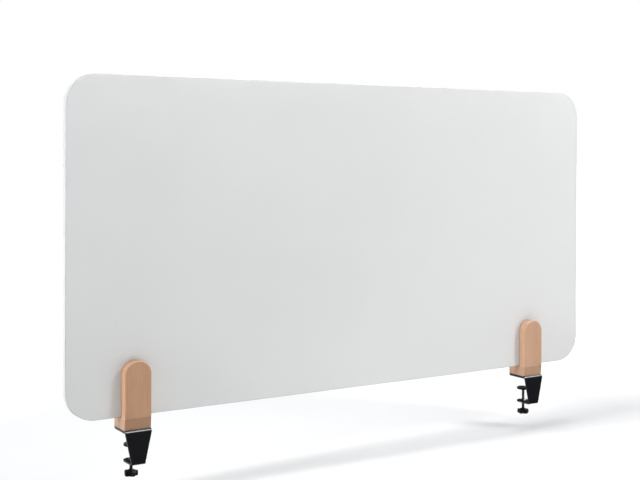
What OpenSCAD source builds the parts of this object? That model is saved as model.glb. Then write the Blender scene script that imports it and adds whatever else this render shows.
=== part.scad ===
// Desk privacy panel: a white board that drops into two slotted beech holders. Each holder is
// screwed to a steel C-clamp, and a star-knob screw presses a pad up under the desk top.
//
// Millimetres, +Z up. The origin lies on the desk's top surface, under the middle of the left
// holder and in the panel's mid-plane. +X runs along the panel and +Y points in over the desk.

/* [Panel] */
// Length of the panel
panel_l = 1200; // [900:50:1600]
// Height of the panel
panel_h = 600; // [400:50:800]
// Thickness of the panel over both face sheets
panel_t = 13; // [10:0.5:18]
// Radius of the panel's four corners
corner_r = 55; // [10:5:120]
// Thickness of each lacquered steel face sheet
sheet_t = 0.5; // [0.4:0.1:1]
// Thickness of the edging round the core
edging_t = 1; // [0.5:0.5:3]
// From the panel's left end to the middle of the left holder
left_inset = 127; // [60:1:300]
// From the panel's right end to the middle of the right holder
right_inset = 147; // [60:1:300]

/* [Wood holder] */
// Width along the panel, which is also twice the radius of the arched top
holder_w = 50; // [44:1:70]
// Depth across the panel, over both cheeks
holder_d = 50; // [46:1:70]
// Height of a cheek above the base block
cheek_h = 100; // [60:5:160]
// Height of the base block under the slot
base_h = 20; // [20:1:40]
// How far the base block's front face leans back at its foot
base_lean = 2; // [0:0.5:3]
// Thickness of the felt that lines the slot
felt_t = 1; // [0.5:0.25:2]
// Play between the felt and each face of the panel
slot_play = 0.3; // [0.2:0.1:1]

/* [Steel clamp] */
// Thickness of the bent steel strip
steel_t = 3; // [2:0.5:4]
// Outer radius of its two bends
bend_r = 5; // [4.5:0.5:8]
// From the desk's top surface down to the arm's underside
clamp_drop = 57; // [50:1:80]
// How far the front plate stands forward of the wood
plate_proud = 2; // [0:0.5:4]
// Width of the arm, and of the front plate where it meets the arm
arm_w = 27; // [24:1:40]
// Thickness of the rubber pad on the desk
desk_pad_t = 2; // [1.5:0.5:3]

/* [Screw and knob] */
// Diameter over the thread
screw_d = 5.9; // [5.5:0.1:6.5]
// How far the screw's axis lies behind the panel's mid-plane
screw_y = 7; // [2:1:10]
// Desk thickness that the clamp is closed on
grip = 25; // [15:1:30]
// Diameter over the lobes of the star knob
knob_d = 25; // [22:1:32]
// Number of lobes
lobes = 5; // [3:1:7]
// Height of the lobed rim
knob_h = 8.5; // [7:0.5:12]
// From the desk's top surface down to the knob's rim
knob_drop = 74; // [72:1:90]
// Diameter of the pressure pad
pad_d = 27; // [22:1:34]

/* [Hidden] */
$fn = 96;

right_x = panel_l - left_inset - right_inset;  // the right holder, from the left one
eps = 1;                                       // overshoot of a cut past the face it opens
glue_gap = 0.05;                               // radial room round a glued or screwed-in piece
run_gap = 0.05;                                // radial room round the turning screw

// Heights, from the desk's top surface upward
plate_z = desk_pad_t;                          // underside of the steel top plate
base_z = plate_z + steel_t;                    // foot of the wood
slot_z = base_z + base_h;                      // floor of the slot
panel_z = slot_z + felt_t;                     // lower edge of the panel

// Depths, from the panel's mid-plane
slot_w = panel_t + 2 * (felt_t + slot_play);
cheek_t = (holder_d - slot_w) / 2;
cheek_y = slot_w / 2 + cheek_t / 2;            // middle of a cheek
plate_y = -holder_d / 2 - plate_proud;         // front face of the clamp
bend_y = plate_y + bend_r;                     // where the two bends end

// Joinery of the holder
dowel_d = 8;
dowel_l = 24;
dowel_bevel = 1;
dowel_x = 13;
wood_screw_d = 4;
wood_screw_l = 18;
wood_screw_head_d = 8;
wood_screw_x = 15;
wood_screw_tip = 4;
felt_margin = 2;                               // felt edge to cheek edge

// Clamp
bush_d = 9;
bush_flange_d = 13;
bush_flange_t = 1.2;
desk_pad_margin = 0.5;                         // rubber edge to steel edge

// Pressure pad: facing, then disc, with a pocket for the end of the screw
facing_t = 1.5;
facing_margin = 0.3;
disc_t = 3;
disc_floor_t = 1.2;
disc_pocket_d = 9;
disc_top = -grip - facing_t;
disc_foot = disc_top - disc_t;
pocket_z = disc_foot + disc_floor_t;

// Neck of the screw, which passes through the disc and carries the clip
neck_d = 4;
neck_top = disc_top - 0.3;
groove_d = 3;
groove_h = 0.8;
shoulder_gap = 0.05;
clip_d = 7;
clip_t = 0.7;
clip_lift = 0.05;                              // clip to the floor of the pocket
clip_mouth = 2.4;

// Knob: lobed rim with a boss round the screw
boss_d = 13;
boss_h = 1.5;
screw_in_knob = 6;                             // depth of the screw's end below the rim's top
lobe_r = 4;
rim_d = 18.4;                                  // diameter at the valleys between the lobes

// ---------------------------------------------------------------- shared shapes

module rounded_rect(l, h, r) {
    translate([r, 0]) square([l - 2 * r, h]);
    translate([0, r]) square([l, h - 2 * r]);
    for (x = [r, l - r], y = [r, h - r]) translate([x, y]) circle(r);
}

// Upright slab in the XZ plane, with its outline's origin at x, z and its middle at y
module upright(t, y = 0, z = 0)
    translate([0, y, z]) rotate([90, 0, 0]) linear_extrude(t, center = true) children();

// The panel's outline drawn in by inset, as a slab of thickness t whose middle is at y
module panel_slab(t, y = 0, inset = edging_t)
    translate([inset - left_inset, 0, inset])
        upright(t, y, panel_z)
            rounded_rect(panel_l - 2 * inset, panel_h - 2 * inset, corner_r - inset);

// Flat-footed outline with a half-round top
module arch(w, h) {
    translate([-w / 2, 0]) square([w, h - w / 2]);
    translate([0, h - w / 2]) circle(w / 2);
}

// Quarter of a bend, centred on the origin, that fills the lower left quadrant
module bend() intersection() {
    difference() {
        circle(bend_r);
        circle(bend_r - steel_t);
    }
    translate([-bend_r, -bend_r]) square(bend_r);
}

module at_dowels() for (x = [-dowel_x, dowel_x], y = [-cheek_y, cheek_y])
    translate([x, y, slot_z - dowel_l / 2]) children();

module at_wood_screws() for (x = [-wood_screw_x, wood_screw_x])
    translate([x, 0, plate_z]) children();

module at_screw(z) translate([0, screw_y, z]) children();

// Solid of revolution of one countersunk wood screw, opened out by gap
module wood_screw_form(gap = 0) {
    head_h = (wood_screw_head_d - wood_screw_d) / 2;
    rotate_extrude() polygon([
        [0, 0], [wood_screw_head_d / 2 + gap, 0], [wood_screw_d / 2 + gap, head_h],
        [wood_screw_d / 2 + gap, wood_screw_l - wood_screw_tip], [0, wood_screw_l]
    ]);
}

// ---------------------------------------------------------------- panel

module panel_core() color("burlywood") panel_slab(panel_t - 2 * sheet_t);

module panel_sheet(side) color("whitesmoke")
    panel_slab(sheet_t, side * (panel_t - sheet_t) / 2);

module panel_edging() color("white") difference() {
    panel_slab(panel_t, inset = 0);
    panel_slab(panel_t + 2 * eps);
}

// ---------------------------------------------------------------- wood holder

module base_block() color("tan") difference() {
    rotate([90, 0, 90]) linear_extrude(holder_w, center = true) polygon([
        [base_lean - holder_d / 2, base_z], [holder_d / 2, base_z],
        [holder_d / 2, slot_z], [-holder_d / 2, slot_z]
    ]);
    at_dowels() cylinder(d = dowel_d + 2 * glue_gap, h = dowel_l);
    at_wood_screws() wood_screw_form(glue_gap);
}

// side is -1 for the cheek over the clamp's front plate and 1 for the one over the desk
module cheek(side) color("burlywood") difference() {
    upright(cheek_t, side * cheek_y, slot_z) arch(holder_w, cheek_h);
    at_dowels() cylinder(d = dowel_d + 2 * glue_gap, h = dowel_l);
}

module dowels() color("wheat") at_dowels() rotate_extrude() polygon([
    [0, 0], [dowel_d / 2 - dowel_bevel, 0], [dowel_d / 2, dowel_bevel],
    [dowel_d / 2, dowel_l - dowel_bevel], [dowel_d / 2 - dowel_bevel, dowel_l], [0, dowel_l]
]);

// One felt on each wall of the slot, and one on its floor that is as wide as the panel
module slot_felts() color("gray") {
    for (side = [-1, 1])
        upright(felt_t, side * (slot_w - felt_t) / 2, slot_z)
            arch(holder_w - 2 * felt_margin, cheek_h - felt_margin);
    translate([0, 0, slot_z + felt_t / 2])
        cube([holder_w - 2 * felt_margin, panel_t, felt_t], center = true);
}

// ---------------------------------------------------------------- steel clamp

// Section of the bent strip, with the desk's edge on the right
module strip_section() {
    translate([bend_y, plate_z]) square([holder_d / 2 - bend_y, steel_t]);
    translate([bend_y, base_z - bend_r]) mirror([0, 1]) bend();
    translate([plate_y, bend_r - clamp_drop])
        square([steel_t, base_z + clamp_drop - 2 * bend_r]);
    translate([bend_y, bend_r - clamp_drop]) bend();
    translate([bend_y, -clamp_drop]) square([screw_y - bend_y, steel_t]);
}

// Front view of the strip: full width on top, tapering down to the arm
module strip_front() for (side = [0, 1]) mirror([side, 0]) polygon([
    [0, -clamp_drop - eps], [arm_w / 2, -clamp_drop - eps], [arm_w / 2, bend_r - clamp_drop],
    [holder_w / 2, base_z - bend_r], [holder_w / 2, base_z + eps], [0, base_z + eps]
]);

module bracket() color("#1c1c20") difference() {
    union() {
        intersection() {
            rotate([90, 0, 90]) linear_extrude(holder_w, center = true) strip_section();
            upright(2 * holder_d) strip_front();
        }
        at_screw(-clamp_drop) cylinder(d = arm_w, h = steel_t);
    }
    at_screw(-clamp_drop - eps) cylinder(d = bush_d, h = steel_t + 2 * eps);
    at_wood_screws() wood_screw_form(glue_gap);
}

module wood_screws() color("silver") at_wood_screws() wood_screw_form();

module desk_pad() color("#262626")
    translate([-holder_w / 2 + desk_pad_margin, bend_y, 0])
        cube([holder_w - 2 * desk_pad_margin, holder_d / 2 - bend_y - desk_pad_margin, desk_pad_t]);

// Nut pressed into the arm from above, so that the clamping force seats its flange
module thread_bush() color("silver") at_screw(-clamp_drop) difference() {
    union() {
        cylinder(d = bush_d, h = steel_t);
        translate([0, 0, steel_t]) cylinder(d = bush_flange_d, h = bush_flange_t);
    }
    translate([0, 0, -eps])
        cylinder(d = screw_d + 2 * run_gap, h = steel_t + bush_flange_t + 2 * eps);
}

// ---------------------------------------------------------------- screw and knob

module clamp_screw() color("dimgray") at_screw(0) rotate_extrude() polygon([
    [0, -knob_drop - screw_in_knob], [screw_d / 2, -knob_drop - screw_in_knob],
    [screw_d / 2, disc_foot - shoulder_gap], [neck_d / 2, disc_foot - shoulder_gap],
    [neck_d / 2, pocket_z], [groove_d / 2, pocket_z],
    [groove_d / 2, pocket_z + groove_h], [neck_d / 2, pocket_z + groove_h],
    [neck_d / 2, neck_top], [0, neck_top]
]);

module star_outline() {
    circle(d = rim_d);
    for (k = [0 : lobes - 1]) rotate(k * 360 / lobes - 90)
        translate([knob_d / 2 - lobe_r, 0]) circle(lobe_r);
}

module star_knob() color("#18181a") difference() {
    union() {
        at_screw(-knob_drop - knob_h) linear_extrude(knob_h) star_outline();
        at_screw(-knob_drop) cylinder(d = boss_d, h = boss_h);
    }
    at_screw(-knob_drop - screw_in_knob)
        cylinder(d = screw_d + 2 * glue_gap, h = screw_in_knob + boss_h + eps);
}

// ---------------------------------------------------------------- pressure pad

module pressure_disc() color("#303034") at_screw(disc_foot) difference() {
    cylinder(d = pad_d, h = disc_t);
    translate([0, 0, disc_floor_t]) cylinder(d = disc_pocket_d, h = disc_t);
    translate([0, 0, -eps]) cylinder(d = neck_d + 2 * run_gap, h = disc_t + 2 * eps);
}

module disc_facing() color("#262626")
    at_screw(disc_top) cylinder(d = pad_d - 2 * facing_margin, h = facing_t);

module retaining_clip() color("silver") at_screw(pocket_z + clip_lift) difference() {
    cylinder(d = clip_d, h = clip_t);
    translate([0, 0, -eps]) cylinder(d = groove_d + 2 * run_gap, h = clip_t + 2 * eps);
    translate([-clip_mouth / 2, 0, -eps]) cube([clip_mouth, clip_d, clip_t + 2 * eps]);
}

// ---------------------------------------------------------------- nodes

module left() children();
module right() translate([right_x, 0, 0]) children();

panel_core();
panel_sheet(-1);  // panel_front_sheet
panel_sheet(1);  // panel_back_sheet
panel_edging();

left() base_block();  // left_base_block
left() cheek(-1);  // left_front_cheek
left() cheek(1);  // left_rear_cheek
left() dowels();  // left_dowels
left() slot_felts();  // left_slot_felts
left() bracket();  // left_bracket
left() wood_screws();  // left_wood_screws
left() desk_pad();  // left_desk_pad
left() thread_bush();  // left_thread_bush
left() clamp_screw();  // left_clamp_screw
left() star_knob();  // left_star_knob
left() pressure_disc();  // left_pressure_disc
left() disc_facing();  // left_disc_facing
left() retaining_clip();  // left_retaining_clip

right() base_block();  // right_base_block
right() cheek(-1);  // right_front_cheek
right() cheek(1);  // right_rear_cheek
right() dowels();  // right_dowels
right() slot_felts();  // right_slot_felts
right() bracket();  // right_bracket
right() wood_screws();  // right_wood_screws
right() desk_pad();  // right_desk_pad
right() thread_bush();  // right_thread_bush
right() clamp_screw();  // right_clamp_screw
right() star_knob();  // right_star_knob
right() pressure_disc();  // right_pressure_disc
right() disc_facing();  // right_disc_facing
right() retaining_clip();  // right_retaining_clip
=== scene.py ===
"""Looks of the desk privacy panel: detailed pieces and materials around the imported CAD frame.

Everything is in metres, in the CAD's own frame: +X along the panel, +Y over the desk, +Z up,
with the origin on the desk's top surface under the middle of the left holder.
"""
import math

import bmesh
import bpy
from mathutils import Matrix, Vector


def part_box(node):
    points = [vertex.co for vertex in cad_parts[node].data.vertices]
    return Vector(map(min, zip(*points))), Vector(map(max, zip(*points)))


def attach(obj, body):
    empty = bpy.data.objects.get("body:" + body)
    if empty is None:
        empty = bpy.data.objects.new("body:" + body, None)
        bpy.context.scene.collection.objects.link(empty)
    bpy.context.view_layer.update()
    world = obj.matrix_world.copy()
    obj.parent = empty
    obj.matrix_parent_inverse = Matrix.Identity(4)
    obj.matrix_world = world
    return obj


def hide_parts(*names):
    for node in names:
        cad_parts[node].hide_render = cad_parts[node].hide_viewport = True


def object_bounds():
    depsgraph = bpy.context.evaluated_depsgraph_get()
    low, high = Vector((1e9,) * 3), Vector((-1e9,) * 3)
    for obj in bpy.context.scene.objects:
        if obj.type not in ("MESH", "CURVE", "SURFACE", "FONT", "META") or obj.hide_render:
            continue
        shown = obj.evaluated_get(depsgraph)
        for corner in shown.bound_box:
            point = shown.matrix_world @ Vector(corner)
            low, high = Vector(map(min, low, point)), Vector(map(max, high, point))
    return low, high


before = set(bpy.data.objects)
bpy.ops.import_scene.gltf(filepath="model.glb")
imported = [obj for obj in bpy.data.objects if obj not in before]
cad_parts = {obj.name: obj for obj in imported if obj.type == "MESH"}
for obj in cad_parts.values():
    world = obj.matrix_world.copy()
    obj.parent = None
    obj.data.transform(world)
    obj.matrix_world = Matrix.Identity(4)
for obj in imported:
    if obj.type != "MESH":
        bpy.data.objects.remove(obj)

CAD_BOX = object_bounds()
MM = 0.001
SIDES = ("left", "right")

# The clamp's steel strip, as in the CAD
STEEL_T = 3 * MM
BEND_R = 5 * MM
ARM_W = 27 * MM

# The holder
BASE_LEAN = 2 * MM
WOOD_EASE = 1.6 * MM          # rounding of the wood's outer edges
WOOD_EASE_INNER = 0.7 * MM    # rounding beside the panel
JOINT_EASE = 0.35 * MM        # fine V where a cheek meets the base block

# The screw
THREAD_PITCH = 1 * MM
THREAD_ROOT_DEPTH = 0.55 * MM
THREAD_FLAT = 0.14            # width of the flat crest and root, as a share of the pitch
KNOB_LOBES = 5
KNOB_WAIST = 0.76             # radius between the lobes, as a share of the radius over them

# Beech, and the tints of each holder's pieces, which carry painted light and painted shade
BEECH_PALE = (0.545, 0.31, 0.178)
BEECH_DEEP = (0.42, 0.222, 0.118)
RING_WIDTH = 1.9 * MM
# The right holder's wood is painted lighter and bluer: this is painted light, not the wood's own
# colour
HOLDER_PAINTED_LIGHT = {"left": (1.0, 1.0, 1.0), "right": (1.1, 1.17, 1.3)}
# The base block is painted darker: partly its own tone as a separate piece, partly painted shade
# for its leaning front. The dowels are lighter.
BASE_TONE_AND_PAINTED_SHADE, DOWEL_SHADE = 0.82, 1.12

# Mesh building
MERGE = 0.001 * MM            # points closer than this are one point
SHARP = math.radians(32)      # edges that bend more than this are shaded sharp
CUT_GAP = 0.05 * MM           # room between a hole and what sits in it
DOWEL_R = 4 * MM

# The camera stands left of the panel and above it, and is turned in towards its far end
CAMERA_PLACE = (-0.7938, -1.8761, 0.4926)
CAMERA_YAW, CAMERA_ROLL = math.radians(32.24), 0.0034
CAMERA_LENS, CAMERA_SENSOR, CAMERA_SHIFT = 63.97, 36, -0.1383

SKY = 0.08                    # brightness of the room round the object
FLOOR_DROP = 30 * MM          # room under the object for the screws to be let down
FLOOR_REACH = 40
FLOOR_GLOW = (0.8, 2.6)       # distances at which the floor's own glow starts and is full
WHITE = (1, 1, 1, 1)


# ------------------------------------------------------------------ camera, light and floor

def make_camera():
    data = bpy.data.cameras.new("camera")
    data.sensor_width, data.lens, data.shift_y = CAMERA_SENSOR, CAMERA_LENS, CAMERA_SHIFT
    camera = bpy.data.objects.new("camera", data)
    turn = Matrix.Rotation(-CAMERA_YAW, 4, "Z") @ Matrix.Rotation(math.pi / 2, 4, "X")
    camera.matrix_world = (
        Matrix.Translation(CAMERA_PLACE) @ turn @ Matrix.Rotation(CAMERA_ROLL, 4, "Z")
    )
    bpy.context.scene.collection.objects.link(camera)
    bpy.context.scene.camera = camera


def aim(lamp, place, target):
    """Puts a lamp at place so that it shines at target."""
    lamp.location = place
    lamp.rotation_euler = (Vector(target) - Vector(place)).to_track_quat("-Z", "Y").to_euler()
    bpy.context.scene.collection.objects.link(lamp)


def softbox(name, place, target, width, height, watts, lights_matt=True, lights_gloss=True,
            colour=(1, 1, 1)):
    """A rectangular lamp, which may be kept out of the matt light or out of the reflections."""
    data = bpy.data.lights.new(name, "AREA")
    data.color = colour
    data.shape, data.size, data.size_y, data.energy = "RECTANGLE", width, height, watts
    lamp = bpy.data.objects.new(name, data)
    lamp.visible_diffuse, lamp.visible_glossy = lights_matt, lights_gloss
    lamp.visible_camera = False
    aim(lamp, place, target)


def make_light():
    """A dim even room with a white backdrop, and the softboxes round the object."""
    world = bpy.data.worlds.new("studio")
    world.use_nodes = True
    nodes, links = world.node_tree.nodes, world.node_tree.links
    glow, backdrop = nodes["Background"], nodes.new("ShaderNodeBackground")
    glow.inputs["Color"].default_value = WHITE
    glow.inputs["Strength"].default_value = SKY
    mix, path = nodes.new("ShaderNodeMixShader"), nodes.new("ShaderNodeLightPath")
    backdrop.inputs["Color"].default_value = WHITE
    links.new(path.outputs["Is Camera Ray"], mix.inputs["Fac"])
    links.new(glow.outputs[0], mix.inputs[1])
    links.new(backdrop.outputs[0], mix.inputs[2])
    links.new(mix.outputs[0], nodes["World Output"].inputs["Surface"])
    bpy.context.scene.world = world
    bpy.context.scene.view_settings.view_transform = "Standard"

    softbox("key", (2.86, -2.76, 3.1), (0.4, 0, 0.2), 0.85, 0.85, 66, lights_gloss=False)
    softbox("fill_right", (2.4, -1.8, 0.3), (0.8, 0, 0.1), 1.2, 0.7, 11, lights_gloss=False)
    softbox("fill_left", (-12.0, -0.3, 4.2), (0.4, 0, 0.1), 2.4, 6.0, 1600, lights_gloss=False,
            colour=(0.95, 1.01, 1.07))
    softbox("fill_behind", (-0.6, 2.6, 1.6), (0.5, 0, 0.3), 1.6, 1.2, 32, lights_gloss=False)
    softbox("overhead", (0.4, 0.1, 2.6), (0.4, 0, 0), 2.4, 0.8, 40, lights_gloss=False)
    softbox("bend_gloss", (1.6, -1.7, 2.3), (0.45, 0, 0), 4.0, 1.3, 500, lights_matt=False)
    softbox("desk_bounce", (0.62, -0.32, -0.09), (0.62, 0, 0.03), 1.1, 0.2, 0.38,
            lights_gloss=False)
    softbox("side_gloss", (-1.1, 2.5, -0.6), (0.3, 0, 0), 3.0, 2.0, 25, lights_matt=False)


def make_floor():
    """A wide pale floor below the object, which runs out into the white of the backdrop."""
    low = CAD_BOX[0].z - FLOOR_DROP
    corners = [(x * FLOOR_REACH, y * FLOOR_REACH, low)
               for x, y in ((-1, -1), (1, -1), (1, 1), (-1, 1))]
    mesh = bpy.data.meshes.new("floor")
    mesh.from_pydata(corners, [], [(0, 1, 2, 3)])
    floor = bpy.data.objects.new("floor", mesh)
    bpy.context.scene.collection.objects.link(floor)
    shade = Shade("floor_white", roughness=0.9, specular=0.1)
    shade.colour(shade.ramp(shade.noise(0.8), [(0.3, (0.86,) * 3), (0.7, (0.88,) * 3)]))
    centre = (CAD_BOX[0] + CAD_BOX[1]) / 2
    away = shade.node("VectorMath", Vector=shade.place(shift=(-centre.x, -centre.y, 0)))
    away.operation = "LENGTH"
    shade.put(shade.surface.inputs["Emission Color"], WHITE)
    shade.put(shade.surface.inputs["Emission Strength"],
              shade.between(away.outputs["Value"], *FLOOR_GLOW))
    mesh.materials.append(shade.material)
    floor.visible_glossy = False


# ------------------------------------------------------------------ material nodes

class Shade:
    """A Principled material whose colour, roughness and bump come from nodes in the object's own
    coordinates. Sizes are in metres."""

    def __init__(self, name, metallic=0.0, roughness=0.5, specular=0.5, sheen=0.0):
        self.material = bpy.data.materials.new(name)
        self.material.use_nodes = True
        self.tree = self.material.node_tree
        self.surface = self.tree.nodes["Principled BSDF"]
        constants = {
            "Metallic": metallic, "Roughness": roughness, "Specular IOR Level": specular,
            "Sheen Weight": sheen,
        }
        for socket, value in constants.items():
            self.surface.inputs[socket].default_value = value
        self.coordinates = self.tree.nodes.new("ShaderNodeTexCoord")

    def node(self, kind, **inputs):
        """A new node with its inputs set or linked. An underscore stands for a space."""
        made = self.tree.nodes.new("ShaderNode" + kind)
        for name, value in inputs.items():
            self.put(made.inputs[name.replace("_", " ")], value)
        return made

    def put(self, socket, value):
        if isinstance(value, bpy.types.NodeSocket):
            self.tree.links.new(value, socket)
        else:
            socket.default_value = value

    def place(self, stretch=(1, 1, 1), shift=(0, 0, 0)):
        """Object coordinates, moved by shift and then scaled along each axis."""
        mapping = self.node("Mapping", Vector=self.coordinates.outputs["Object"], Scale=stretch)
        mapping.inputs["Location"].default_value = [s * k for s, k in zip(shift, stretch)]
        return mapping.outputs[0]

    def noise(self, size, stretch=(1, 1, 1), shift=(0, 0, 0), detail=3.0, roughness=0.5):
        """Noise whose blotches measure about size, divided by stretch along each axis."""
        made = self.node("TexNoise", Vector=self.place(stretch, shift), Scale=1 / size,
                         Detail=detail, Roughness=roughness)
        return made.outputs["Fac"]

    def math(self, operation, a, b=0.0):
        made = self.tree.nodes.new("ShaderNodeMath")
        made.operation = operation
        self.put(made.inputs[0], a)
        self.put(made.inputs[1], b)
        return made.outputs[0]

    def between(self, value, low, high, to_low=0.0, to_high=1.0):
        """Value, carried from low..high to to_low..to_high and held there."""
        made = self.node("MapRange", Value=value, From_Min=low, From_Max=high, To_Min=to_low,
                         To_Max=to_high)
        return made.outputs["Result"]

    def ramp(self, value, stops):
        """Value, carried to a colour by (position, rgb) stops."""
        made = self.node("ValToRGB", Fac=value)
        elements = made.color_ramp.elements
        while len(elements) < len(stops):
            elements.new(0.5)
        for element, (position, rgb) in zip(elements, stops):
            element.position, element.color = position, (*rgb, 1)
        return made.outputs["Color"]

    def mix(self, factor, a, b):
        made = self.tree.nodes.new("ShaderNodeMix")
        made.data_type = "RGBA"
        self.put(made.inputs[0], factor)
        for socket, value in zip(made.inputs[6:8], (a, b)):
            self.put(socket, value if isinstance(value, bpy.types.NodeSocket) else (*value, 1))
        return made.outputs[2]

    def colour(self, value):
        self.put(self.surface.inputs["Base Color"], value)

    def roughness(self, value):
        self.put(self.surface.inputs["Roughness"], value)

    def bump(self, height, depth):
        """Raises the surface by up to depth where height is 1. Calls stack."""
        made = self.node("Bump", Height=height, Distance=depth, Strength=1.0)
        before = self.surface.inputs["Normal"].links
        if before:
            self.put(made.inputs["Normal"], before[0].from_socket)
        self.put(self.surface.inputs["Normal"], made.outputs["Normal"])


def lacquer():
    """White enamel on flat steel sheet: glossy, with a faint orange peel."""
    s = Shade("lacquer_white", roughness=0.34, specular=0.4)
    s.colour(s.ramp(s.noise(0.35), [(0.35, (0.69, 0.69, 0.687)), (0.65, (0.71, 0.71, 0.706))]))
    s.roughness(s.between(s.noise(0.06), 0.3, 0.7, 0.3, 0.38))
    s.bump(s.noise(2.5 * MM, detail=1.0), 0.004 * MM)
    s.bump(s.noise(0.12, detail=0.0), 0.05 * MM)
    return s.material


def edging_plastic():
    """Pale grey satin plastic round the panel's rim."""
    s = Shade("edging_plastic", roughness=0.45, specular=0.45)
    s.colour(s.ramp(s.noise(0.02), [(0.3, (0.51, 0.51, 0.505)), (0.7, (0.54, 0.54, 0.535))]))
    s.roughness(s.between(s.noise(4 * MM), 0.3, 0.7, 0.38, 0.5))
    s.bump(s.noise(0.35 * MM, detail=2.0), 0.012 * MM)
    return s.material


def fibreboard():
    """The panel's core, which shows only when the sheets come off."""
    s = Shade("fibreboard", roughness=0.9, specular=0.2)
    fibres = s.noise(1.2 * MM, stretch=(1, 3, 1), detail=6.0, roughness=0.7)
    s.colour(s.ramp(fibres, [(0.3, (0.30, 0.20, 0.11)), (0.7, (0.47, 0.34, 0.21))]))
    s.bump(fibres, 0.15 * MM)
    return s.material


def beech(name, seed, tint_and_painted_light):
    """Beech with its grain along Z: growth rings round a pith beside the piece, long fibres,
    the short dark flecks of the rays, and darker end grain. Every seed is another plank."""
    s = Shade(name, roughness=0.4, specular=0.4)
    shift = (0.037 * seed, 0.061 * seed, 0.113 * seed)
    pith = (0.11 + 0.013 * seed, 0.045, 0)
    ring_sway, fleck_size = 9.0, 1.7 * MM

    fibres = s.noise(1.1 * MM, stretch=(1, 1, 0.03), shift=shift, detail=4.0, roughness=0.6)
    pores = s.noise(0.35 * MM, stretch=(1, 1, 0.06), shift=shift, detail=2.0)
    clouds = s.noise(0.025, stretch=(1, 1, 0.3), shift=shift, detail=2.0)
    sway = s.noise(0.06, stretch=(1, 1, 0.25), shift=shift, detail=1.0)

    from_pith = s.node("VectorMath", Vector=s.place((1, 1, 0), pith))
    from_pith.operation = "LENGTH"
    ring_place = s.math("MULTIPLY", from_pith.outputs["Value"], 1 / RING_WIDTH)
    ring_place = s.math("ADD", ring_place, s.math("MULTIPLY", sway, ring_sway))
    along_rings = s.node("CombineXYZ", X=ring_place, Y=float(seed))
    rings = s.node("TexNoise", Vector=along_rings.outputs[0], Scale=1.0, Detail=1.5).outputs["Fac"]

    # The tint paints light onto the right holder's wood, and paints partly shade onto the base
    # block
    pale, deep = [tuple(c * t for c, t in zip(rgb, tint_and_painted_light)) for rgb in (BEECH_PALE, BEECH_DEEP)]
    grain = s.math("ADD", s.math("MULTIPLY", fibres, 0.45), s.math("MULTIPLY", rings, 0.3))
    grain = s.math("ADD", grain, s.math("MULTIPLY", clouds, 0.25))
    tone = s.mix(s.between(grain, 0.36, 0.68), pale, deep)

    cells = s.node("TexVoronoi", Vector=s.place((1, 1, 0.2), shift), Scale=1 / fleck_size)
    flecks = s.between(cells.outputs["Distance"], 0.07, 0.17, 1.0, 0.0)
    flecks = s.math("MULTIPLY", flecks, s.between(s.noise(5 * MM, shift=shift), 0.42, 0.6))
    tone = s.mix(s.math("MULTIPLY", flecks, 0.5), tone, tuple(c * 0.6 for c in deep))
    tone = s.mix(s.between(pores, 0.55, 0.8, 0.0, 0.35), tone, tuple(c * 0.75 for c in deep))

    facing = s.node("SeparateXYZ", Vector=s.coordinates.outputs["Normal"])
    ends = s.between(s.math("ABSOLUTE", facing.outputs["Z"]), 0.55, 0.98, 0.0, 0.45)
    tone = s.mix(ends, tone, tuple(c * 0.8 for c in deep))
    s.colour(tone)
    s.roughness(s.between(fibres, 0.3, 0.7, 0.34, 0.46))
    s.bump(fibres, 0.03 * MM)
    s.bump(pores, 0.02 * MM)
    return s.material


def felt():
    """Grey pressed felt, clumped and hairy."""
    s = Shade("felt_grey", roughness=0.95, specular=0.1, sheen=0.5)
    hairs = s.noise(0.5 * MM, stretch=(1, 1, 0.4), detail=6.0, roughness=0.75)
    clumps = s.noise(3 * MM)
    s.colour(s.mix(s.between(clumps, 0.35, 0.65),
                   s.ramp(hairs, [(0.3, (0.17, 0.17, 0.17)), (0.7, (0.33, 0.33, 0.32))]),
                   (0.26, 0.26, 0.255)))
    s.bump(hairs, 0.2 * MM)
    return s.material


def powder_coat():
    """Satin black powder coat, with the fine pebble of the fused powder."""
    s = Shade("powder_coat_black", roughness=0.3, specular=0.34)
    s.colour(s.ramp(s.noise(9 * MM, detail=0.0),
                    [(0.0, (0.0035, 0.0035, 0.0065)), (1.0, (0.005, 0.005, 0.0085))]))
    s.roughness(s.between(s.noise(5 * MM, detail=0.0), 0.0, 1.0, 0.29, 0.37))
    s.bump(s.noise(1.6 * MM, detail=1.0), 0.007 * MM)
    return s.material


def zinc():
    """Bright zinc plate with a faint spangle."""
    s = Shade("zinc_plate", metallic=1.0, roughness=0.32)
    spangle = s.node("TexVoronoi", Vector=s.place(), Scale=1 / (1.4 * MM)).outputs["Color"]
    plate = s.ramp(s.noise(2 * MM), [(0.3, (0.36, 0.37, 0.39)), (0.7, (0.48, 0.49, 0.51))])
    s.colour(s.mix(0.12, plate, spangle))
    s.roughness(s.between(s.noise(0.8 * MM), 0.3, 0.7, 0.3, 0.44))
    return s.material


def thread_steel():
    """Dark, lightly oiled steel with the drawn marks of the rolled thread."""
    s = Shade("thread_steel", metallic=1.0, roughness=0.36)
    s.colour(s.ramp(s.noise(1.5 * MM, detail=4.0),
                    [(0.3, (0.10, 0.10, 0.11)), (0.7, (0.20, 0.20, 0.215))]))
    s.roughness(s.between(s.noise(0.5 * MM, stretch=(1, 1, 3)), 0.3, 0.7, 0.3, 0.48))
    s.bump(s.noise(0.2 * MM, stretch=(1, 1, 4)), 0.01 * MM)
    return s.material


def rubber():
    """Dusty black rubber."""
    s = Shade("pad_rubber", roughness=0.75, specular=0.35, sheen=0.08)
    dust = s.noise(7 * MM, detail=4.0)
    s.colour(s.ramp(dust, [(0.35, (0.012, 0.012, 0.0125)), (0.7, (0.022, 0.022, 0.022))]))
    s.roughness(s.between(dust, 0.3, 0.7, 0.66, 0.84))
    s.bump(s.noise(0.4 * MM, detail=3.0), 0.035 * MM)
    return s.material


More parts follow.
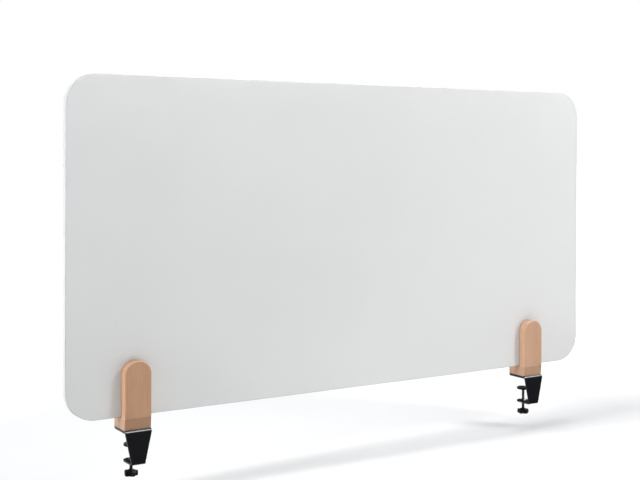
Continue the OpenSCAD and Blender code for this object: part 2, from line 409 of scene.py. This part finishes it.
def knob_plastic():
    """Black moulded plastic with the fine grain of a spark-eroded mould."""
    s = Shade("knob_plastic", roughness=0.46, specular=0.28)
    s.colour(s.ramp(s.noise(4 * MM),
                    [(0.3, (0.0045, 0.0045, 0.005)), (0.7, (0.0075, 0.0075, 0.008))]))
    s.roughness(s.between(s.noise(1.2 * MM), 0.3, 0.7, 0.4, 0.56))
    s.bump(s.noise(0.25 * MM, detail=2.0), 0.018 * MM)
    return s.material


# ------------------------------------------------------------------ mesh building

def merge_points(mesh):
    """Merges doubled points of a bmesh, and clears what that leaves flat."""
    bmesh.ops.remove_doubles(mesh, verts=mesh.verts, dist=MERGE)
    bmesh.ops.dissolve_degenerate(mesh, edges=mesh.edges, dist=MERGE)


def finish_mesh(obj):
    """Merges doubled points, turns the faces outward, and shades smooth between sharp edges."""
    mesh = bmesh.new()
    mesh.from_mesh(obj.data)
    merge_points(mesh)
    bmesh.ops.recalc_face_normals(mesh, faces=mesh.faces)
    for face in mesh.faces:
        face.smooth = True
    for edge in mesh.edges:
        edge.smooth = len(edge.link_faces) == 2 and edge.calc_face_angle() < SHARP
    mesh.to_mesh(obj.data)
    mesh.free()
    return obj


def weigh_normals(obj):
    """Large faces keep their own normal, so that the light doesn't creep in from eased edges."""
    weigh = obj.modifiers.new("weigh", "WEIGHTED_NORMAL")
    weigh.keep_sharp = True


def from_points(name, points, faces):
    mesh = bpy.data.meshes.new(name)
    mesh.from_pydata(points, [], faces)
    obj = bpy.data.objects.new(name, mesh)
    bpy.context.scene.collection.objects.link(obj)
    return obj


def skin(name, rings, loop=False):
    """A closed surface through rings of equally many points. Its ends are capped, unless the last
    ring runs on into the first."""
    count = len(rings[0])
    points = [p for ring in rings for p in ring]
    faces = []
    for r in range(len(rings) if loop else len(rings) - 1):
        here, there = r * count, (r + 1) % len(rings) * count
        faces += [(here + k, here + (k + 1) % count, there + (k + 1) % count, there + k)
                  for k in range(count)]
    if not loop:
        faces += [tuple(range(count))[::-1], tuple(range(len(points) - count, len(points)))]
    return finish_mesh(from_points(name, points, faces))


def round_corners(half_width, half_height, r, steps):
    """Four quarter circles of radius r about the corners of a rectangle, as one outline."""
    return [
        (sx * half_width + r * math.cos(a), sy * half_height + r * math.sin(a))
        for quarter, (sx, sy) in enumerate(((1, 1), (-1, 1), (-1, -1), (1, -1)))
        for a in (math.pi / 2 * (quarter + k / steps) for k in range(steps + 1))
    ]


def rounded_rect(width, height, radius, steps=14):
    """Outline about the origin, as a function of how far it is drawn in."""
    def outline(inset):
        r = radius - inset
        return round_corners(width / 2 - radius, height / 2 - radius, r, steps)
    return outline


def arch(width, height, steps=40):
    """Outline with a square foot at the origin and a half-round top. Drawn in, its foot rises by
    the small joint easing only."""
    def outline(inset):
        r, foot = width / 2 - inset, min(inset, JOINT_EASE)
        angles = [math.pi * k / steps for k in range(steps + 1)]
        top = [(r * math.cos(a), height - width / 2 + r * math.sin(a)) for a in angles]
        return [(r, foot), *top, (-r, foot)]
    return outline


def star(radius, waist, lobes, steps=30):
    """Outline of a knob with broad lobes and narrower hollows between them, one lobe at -Y."""
    flatness, breadth = 1.5, 0.25

    def outline(inset):
        points = []
        for k in range(lobes * steps):
            a = 2 * math.pi * k / (lobes * steps)
            wave = math.tanh(flatness * (math.cos(lobes * a) + breadth))
            wave /= math.tanh(flatness * (1 + breadth))
            r = waist + (radius - waist) * (0.5 + 0.5 * wave) - inset
            points.append((r * math.sin(a), -r * math.cos(a)))
        return points
    return outline


def rim(low, high, ease_low, ease_high, steps=4):
    """Profile (inset, level) of a plate from its low face to its high one, with rounded edges."""
    quarter = [math.pi / 2 * k / steps for k in range(steps + 1)]
    return (
        [(ease_low * (1 - math.sin(a)), low + ease_low * (1 - math.cos(a))) for a in quarter]
        + [(ease_high * (1 - math.cos(a)), high - ease_high * (1 - math.sin(a))) for a in quarter]
    )


def upright(outline, profile, x, z):
    """Rings of a standing plate, whose outline lies in XZ about x, z and whose levels run in Y."""
    return [[(x + u, level, z + v) for u, v in outline(inset)] for inset, level in profile]


def flat(outline, profile, x, y):
    """Rings of a lying plate, whose outline lies in XY about x, y and whose levels run in Z."""
    return [[(x + u, y + v, level) for u, v in outline(inset)] for inset, level in profile]


def turned(profile, x, y, steps=64):
    """Rings of a turned piece from (radius, z) pairs."""
    angles = [2 * math.pi * k / steps for k in range(steps)]
    return [[(x + r * math.cos(a), y + r * math.sin(a), z) for a in angles] for r, z in profile]


def cut(obj, *cutters):
    """Takes the cutters away from obj, and deletes them."""
    for cutter in cutters:
        tool = obj.modifiers.new("cut", "BOOLEAN")
        tool.operation, tool.solver, tool.object = "DIFFERENCE", "EXACT", cutter
    solid = obj.evaluated_get(bpy.context.evaluated_depsgraph_get())
    mesh = bpy.data.meshes.new_from_object(solid)
    obj.modifiers.clear()
    obj.data = mesh
    for cutter in cutters:
        bpy.data.objects.remove(cutter)
    return finish_mesh(obj)


def join(first, second):
    """Adds the second object's mesh to the first's."""
    mesh = bmesh.new()
    mesh.from_mesh(first.data)
    mesh.from_mesh(second.data)
    mesh.to_mesh(first.data)
    mesh.free()
    bpy.data.objects.remove(second)
    return first


def middle(node):
    """The middle of a CAD node's box."""
    low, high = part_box(node)
    return (low + high) / 2


def settle(obj, body, material, slot, *nodes):
    """Dresses a finished piece, fixes it to its body, and lets it stand for its CAD nodes."""
    obj.data.materials.append(material)
    weigh_normals(obj)
    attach(obj, body)
    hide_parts(*nodes)


# ------------------------------------------------------------------ panel

def make_panel(materials):
    """The edging, as one ring with a rounded nose, and the two enamelled sheets inside it."""
    corner_r, edging_t, sheet_ease, seam = 55 * MM, 1 * MM, 0.22 * MM, 0.06 * MM
    low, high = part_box("panel_edging")
    size, centre = high - low, (low + high) / 2
    outline = rounded_rect(size.x, size.z, corner_r, steps=32)

    nose = rim(low.y, high.y, 0.7 * MM, 0.7 * MM)
    inner = [(edging_t, high.y - 0.05 * MM), (edging_t, low.y + 0.05 * MM)]
    shoulder = [(0.75 * edging_t, high.y), (0.75 * edging_t, low.y)]
    section = [shoulder[1], *nose, shoulder[0], *inner]
    ring = skin("panel_edging_band", upright(outline, section, centre.x, centre.z), loop=True)
    settle(ring, "panel", materials["edging"], "edging", "panel_edging")

    def face(inset):
        return outline(edging_t + seam + inset)

    for name, node in (("front", "panel_front_sheet"), ("back", "panel_back_sheet")):
        low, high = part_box(node)
        eases = (sheet_ease, 0.0) if name == "front" else (0.0, sheet_ease)
        sheet = skin(f"panel_{name}_enamel",
                     upright(face, rim(low.y, high.y, *eases), centre.x, centre.z))
        settle(sheet, "panel", materials["lacquer"], "lacquered_sheet", node)


# ------------------------------------------------------------------ wood holder

def make_cheek(side, place, material):
    """Arched plank. Its outer edge is eased more than the one beside the panel."""
    node = f"{side}_{place}_cheek"
    low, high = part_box(node)
    eases = (WOOD_EASE, WOOD_EASE_INNER) if place == "front" else (WOOD_EASE_INNER, WOOD_EASE)
    outline = arch(high.x - low.x, high.z - low.z)
    cheek = skin(f"{side}_{place}_cheek_wood",
                 upright(outline, rim(low.y, high.y, *eases), (low.x + high.x) / 2, low.z))
    cut(cheek, *dowel_cutters(side, low, high))
    settle(cheek, "desk_holders", material, "beech", node)


def dowel_cutters(side, low, high):
    """Plugs for the dowel holes that fall between low and high."""
    dowel_low, dowel_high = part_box(f"{side}_dowels")
    plugs = []
    for x in (dowel_low.x + DOWEL_R, dowel_high.x - DOWEL_R):
        for y in (dowel_low.y + DOWEL_R, dowel_high.y - DOWEL_R):
            if low.y < y < high.y:
                profile = [(DOWEL_R + CUT_GAP, dowel_low.z), (DOWEL_R + CUT_GAP, dowel_high.z)]
                plugs.append(skin("plug", turned(profile, x, y, steps=32)))
    return plugs


def make_base_block(side, material):
    """Block under the cheeks, whose front face leans back towards its foot."""
    node = f"{side}_base_block"
    low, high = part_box(node)
    centre, size = (low + high) / 2, high - low
    outline = rounded_rect(size.x, size.y, WOOD_EASE, steps=6)
    rings = flat(outline, rim(low.z, high.z, 0.6 * MM, JOINT_EASE, steps=3), centre.x, centre.y)
    for ring in rings:
        for k, (x, y, z) in enumerate(ring):
            share = 1 - BASE_LEAN / size.y * (high.z - z) / size.z
            ring[k] = (x, high.y + (y - high.y) * share, z)
    block = skin(f"{side}_base_block_wood", rings)
    cut(block, *dowel_cutters(side, low, high), *wood_screw_cutters(side))
    settle(block, "desk_holders", material, "beech", node)


def make_felts(side, material):
    """Two thin arched felts on the walls of the slot and a strip on its floor."""
    low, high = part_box(f"{side}_slot_felts")
    felt_t, ease = 1 * MM, 0.3 * MM
    x = (low.x + high.x) / 2
    outline = arch(high.x - low.x, high.z - low.z)
    walls = [
        skin(f"{side}_slot_felt",
             upright(outline, rim(y, y + felt_t, ease, ease, steps=2), x, low.z))
        for y in (low.y, high.y - felt_t)
    ]
    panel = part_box("panel_edging")
    strip = rounded_rect(high.x - low.x, panel[1].y - panel[0].y, 0.6 * MM, steps=3)
    bed = skin(f"{side}_slot_felt",
               flat(strip, rim(low.z, low.z + felt_t, 0.1 * MM, ease, steps=2), x, 0))
    felts = join(join(*walls), bed)
    settle(felts, "desk_holders", material, "felt", f"{side}_slot_felts")


# ------------------------------------------------------------------ clamp

def strip_section(half_width, ease=0.4 * MM, steps=3):
    """Section of the steel strip, as (across, outward) points with rounded corners."""
    ease = min(ease, 0.9 * half_width)
    return round_corners(half_width - ease, STEEL_T / 2 - ease, ease, steps)


def strip_stations(low, high, screw_y):
    """Stations along the middle of the strip: (y, z, outward angle in YZ, half width). They run
    from the top plate's rear edge round both bends to the tip of the arm."""
    full, arm = (high.x - low.x) / 2, ARM_W / 2
    bend_y, inner = low.y + BEND_R, BEND_R - STEEL_T / 2
    top_z, foot_z = high.z - BEND_R, low.z + BEND_R
    corner, corner_steps, bend_steps, end_steps = 2.5 * MM, 6, 10, 22
    up, forward, down = math.pi / 2, math.pi, 1.5 * math.pi
    stations = []
    for k in range(corner_steps, -1, -1):
        a = math.pi / 2 * k / corner_steps
        stations.append((high.y - corner * (1 - math.sin(a)), high.z - STEEL_T / 2, up,
                         full - corner * (1 - math.cos(a))))
    for start, bend_z, half_width in ((up, top_z, full), (forward, foot_z, arm)):
        for k in range(bend_steps + 1):
            a = start + math.pi / 2 * k / bend_steps
            stations.append((bend_y + inner * math.cos(a), bend_z + inner * math.sin(a), a,
                             half_width))
    for k in range(end_steps + 1):
        a = math.radians(88) * k / end_steps
        stations.append((screw_y + arm * math.sin(a), low.z + STEEL_T / 2, down, arm * math.cos(a)))
    return stations


def wood_screw_cutters(side):
    """Countersunk holes for the two wood screws."""
    low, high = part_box(f"{side}_wood_screws")
    head_r, shank_r, tip = 4 * MM, 2 * MM, 4 * MM
    profile = [
        (head_r + CUT_GAP, low.z - 1 * MM), (head_r + CUT_GAP, low.z),
        (shank_r + CUT_GAP, low.z + head_r - shank_r), (shank_r + CUT_GAP, high.z - tip),
        (0.2 * MM, high.z),
    ]
    y = (low.y + high.y) / 2
    return [skin("countersink", turned(profile, x, y, steps=32))
            for x in (low.x + head_r, high.x - head_r)]


def make_bracket(side, material):
    """The bent strip, with the bush's hole in its arm and countersinks in its top plate."""
    node = f"{side}_bracket"
    low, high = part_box(node)
    x, screw = (low.x + high.x) / 2, middle(f"{side}_clamp_screw")
    rings = []
    for y, z, angle, half_width in strip_stations(low, high, screw.y):
        rings.append([(x + u, y + n * math.cos(angle), z + n * math.sin(angle))
                      for u, n in strip_section(half_width)])
    bracket = skin(f"{side}_bracket_steel", rings)
    bush_r, over = 4.5 * MM, 1 * MM
    hole = [(bush_r, low.z - over), (bush_r, low.z + STEEL_T + over)]
    cut(bracket, skin("bush_hole", turned(hole, screw.x, screw.y)), *wood_screw_cutters(side))
    settle(bracket, "desk_holders", material, "black_steel", node)


def make_desk_pad(side, material):
    """Rubber sheet under the top plate, with shallow grooves along the desk's edge."""
    node = f"{side}_desk_pad"
    low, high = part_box(node)
    centre, size = (low + high) / 2, high - low
    outline = rounded_rect(size.x, size.y, 2 * MM, steps=6)
    pad = skin(f"{side}_desk_pad_rubber",
               flat(outline, rim(low.z, high.z, 0.4 * MM, 0.1 * MM, steps=3), centre.x, centre.y))
    grooves, half = 7, 0.45 * MM
    cutters = []
    for k in range(grooves):
        y = low.y + size.y * (k + 1) / (grooves + 1)
        ring = [(y - half, low.z - half), (y + half, low.z - half), (y, low.z + half)]
        ends = [[(x, *point) for point in ring] for x in (low.x - half, high.x + half)]
        cutters.append(skin("groove", ends))
    cut(pad, *cutters)
    settle(pad, "desk_holders", material, "pad_rubber", node)


def make_bush(side, material):
    """Nut pressed into the arm, with a flange above it and bevelled ends to its bore."""
    node = f"{side}_thread_bush"
    low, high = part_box(node)
    x, y, _ = middle(node)
    flange_r, barrel_r, bore_r = (high.x - low.x) / 2, 4.45 * MM, 3 * MM
    bevel, small_bevel, tiny_bevel = 0.35 * MM, 0.2 * MM, 0.15 * MM
    seat = low.z + STEEL_T
    profile = [
        (bore_r, low.z + bevel), (bore_r + bevel, low.z),
        (barrel_r - small_bevel, low.z), (barrel_r, low.z + small_bevel),
        (barrel_r, seat), (flange_r - tiny_bevel, seat), (flange_r, seat + tiny_bevel),
        (flange_r, high.z - bevel), (flange_r - bevel, high.z),
        (bore_r + bevel, high.z), (bore_r, high.z - bevel),
    ]
    bush = skin(f"{side}_thread_bush_zinc", turned(profile, x, y), loop=True)
    settle(bush, "desk_holders", material, "zinc_steel", node)


# ------------------------------------------------------------------ screw, knob and pad

def threaded_rod(name, x, y, low, high, crest_r, steps=24):
    """Rod with a real helical thread. Each row of points climbs one pitch in a turn, and then runs
    on into the row a turn above."""
    root_r = crest_r - THREAD_ROOT_DEPTH
    end_r = root_r - 0.15 * MM
    flank = 0.5
    rows = ((0.0, crest_r), (THREAD_FLAT, crest_r), (flank, root_r), (flank + THREAD_FLAT, root_r))
    turns = math.ceil((high - low) / THREAD_PITCH) + 2
    points, faces = [], []
    for turn in range(turns):
        for rise, r in rows:
            for k in range(steps):
                z = low + (turn - 1 + rise + k / steps) * THREAD_PITCH
                z = min(max(z, low), high)
                r_here = min(r, end_r + z - low, end_r + high - z)
                a = 2 * math.pi * k / steps
                points.append((x + r_here * math.cos(a), y + r_here * math.sin(a), z))
    total = turns * len(rows)
    for row in range(total - 1):
        for k in range(steps):
            wraps = k == steps - 1
            side = row + len(rows) if wraps else row
            if side + 1 < total:
                turn_on = side * steps + (0 if wraps else k + 1)
                faces.append((row * steps + k, turn_on, turn_on + steps, (row + 1) * steps + k))
    rod = from_points(name, points, faces)
    mesh = bmesh.new()
    mesh.from_mesh(rod.data)
    merge_points(mesh)
    bmesh.ops.holes_fill(mesh, edges=[e for e in mesh.edges if e.is_boundary])
    mesh.to_mesh(rod.data)
    mesh.free()
    return finish_mesh(rod)


def make_screw(side, material):
    """Threaded rod with a plain neck, which carries the disc and is grooved for its clip."""
    node = f"{side}_clamp_screw"
    low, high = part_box(node)
    x, y, _ = middle(node)
    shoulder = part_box(f"{side}_pressure_disc")[0].z - CUT_GAP
    rod = threaded_rod(f"{side}_clamp_screw_steel", x, y, low.z, shoulder, (high.x - low.x) / 2)
    neck_r, groove_r, groove_w, bevel = 2 * MM, 1.5 * MM, 0.8 * MM, 0.25 * MM
    groove = shoulder + 1.25 * MM
    profile = [
        (neck_r, shoulder - 0.6 * MM), (neck_r, groove), (groove_r, groove),
        (groove_r, groove + groove_w), (neck_r, groove + groove_w), (neck_r, high.z - bevel),
        (neck_r - bevel, high.z),
    ]
    join(rod, skin("neck", turned(profile, x, y, steps=32)))
    settle(rod, f"{side}_screw", material, "thread_steel", node)


def make_knob(side, material):
    """Star knob: a lobed rim with rounded edges, dished round a boss, on a blind bore."""
    node = f"{side}_star_knob"
    low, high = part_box(node)
    x, y, _ = middle(f"{side}_clamp_screw")
    radius, boss_h, bore_r, bore_depth, ease = 12.5 * MM, 1.5 * MM, 3.05 * MM, 6 * MM, 1.5 * MM
    outline = star(radius, KNOB_WAIST * radius, KNOB_LOBES)
    rim_top = high.z - boss_h

    def circle(r):
        return [(r * u / math.hypot(u, v), r * v / math.hypot(u, v)) for u, v in outline(0)]

    lobed = [(outline(inset), level) for inset, level in rim(low.z, rim_top, ease, ease, steps=6)]
    underside = [
        (circle(3.6 * MM), low.z + 0.9 * MM), (circle(5.6 * MM), low.z + 0.8 * MM),
        (circle(6.3 * MM), low.z + 0.1 * MM), (circle(6.6 * MM), low.z),
    ]
    top = [
        (circle(7.8 * MM), rim_top - 0.15 * MM), (circle(7.0 * MM), rim_top),
        (circle(6.6 * MM), rim_top + 0.4 * MM), (circle(6.4 * MM), high.z - 0.25 * MM),
        (circle(6.1 * MM), high.z), (circle(bore_r + 0.25 * MM), high.z),
        (circle(bore_r), high.z - 0.3 * MM), (circle(bore_r), rim_top - bore_depth),
    ]
    rings = [[(x + u, y + v, level) for u, v in points]
             for points, level in underside + lobed + top]
    knob = skin(f"{side}_star_knob_plastic", rings)
    settle(knob, f"{side}_screw", material, "knob_plastic", node)


def make_pressure_disc(side, material):
    """Steel disc with a rolled rim, and a pocket in its top for the clip."""
    node = f"{side}_pressure_disc"
    low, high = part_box(node)
    x, y, _ = middle(node)
    radius, hole_r, pocket_r = (high.x - low.x) / 2, 2.05 * MM, 4.5 * MM
    floor_z, ease, dish = low.z + 1.2 * MM, 1.1 * MM, 0.25 * MM
    edge = [(radius - inset, level) for inset, level in rim(low.z, high.z, ease, 0.3 * MM)]
    profile = [
        (hole_r, floor_z), (hole_r, low.z), (6 * MM, low.z), (7 * MM, low.z + dish),
        (radius - 2.4 * MM, low.z + dish), *edge, (pocket_r, high.z), (pocket_r, floor_z),
    ]
    disc = skin(f"{side}_pressure_disc_steel", turned(profile, x, y), loop=True)
    settle(disc, f"{side}_pad", material, "black_steel", node)


def make_facing(side, material):
    """Rubber facing with two shallow rings moulded in its top."""
    node = f"{side}_disc_facing"
    low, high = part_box(node)
    x, y, _ = middle(node)
    radius, dip, half = (high.x - low.x) / 2, 0.35 * MM, 0.5 * MM
    profile = [(radius - inset, level) for inset, level in rim(low.z, high.z, 0.1 * MM, 0.5 * MM)]
    for share in (0.72, 0.4):
        r = radius * share
        profile += [(r + half, high.z), (r + half / 2, high.z - dip),
                    (r - half / 2, high.z - dip), (r - half, high.z)]
    facing = skin(f"{side}_disc_facing_rubber", turned(profile, x, y))
    settle(facing, f"{side}_pad", material, "pad_rubber", node)


# ------------------------------------------------------------------ the whole object

def dress(node, material):
    """Gives a carried-over CAD node its material."""
    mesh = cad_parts[node].data
    mesh.materials.clear()
    mesh.materials.append(material)


def make_object():
    materials = {
        "lacquer": lacquer(), "edging": edging_plastic(), "felt": felt(), "steel": powder_coat(),
        "zinc": zinc(), "thread": thread_steel(), "rubber": rubber(), "plastic": knob_plastic(),
    }
    make_panel(materials)
    dress("panel_core", fibreboard())
    for number, side in enumerate(SIDES):
        # Painted light: the right holder's wood is lifted lighter and bluer
        tint_and_painted_light = Vector(HOLDER_PAINTED_LIGHT[side])
        make_cheek(side, "front", beech(f"{side}_beech_front", 3 * number + 1, tint_and_painted_light))
        make_cheek(side, "rear", beech(f"{side}_beech_rear", 3 * number + 2, tint_and_painted_light))
        # The base block is darker, partly its own tone and partly painted shade
        make_base_block(side, beech(f"{side}_beech_base", 3 * number + 3, BASE_TONE_AND_PAINTED_SHADE * tint_and_painted_light))
        make_felts(side, materials["felt"])
        make_bracket(side, materials["steel"])
        make_desk_pad(side, materials["rubber"])
        make_bush(side, materials["zinc"])
        make_screw(side, materials["thread"])
        make_knob(side, materials["plastic"])
        make_pressure_disc(side, materials["steel"])
        make_facing(side, materials["rubber"])
        dress(f"{side}_dowels",
              beech(f"{side}_beech_dowels", 3 * number + 11, DOWEL_SHADE * tint_and_painted_light))
        dress(f"{side}_wood_screws", materials["zinc"])
        dress(f"{side}_retaining_clip", materials["zinc"])


make_camera()
make_light()
make_floor()
make_object()
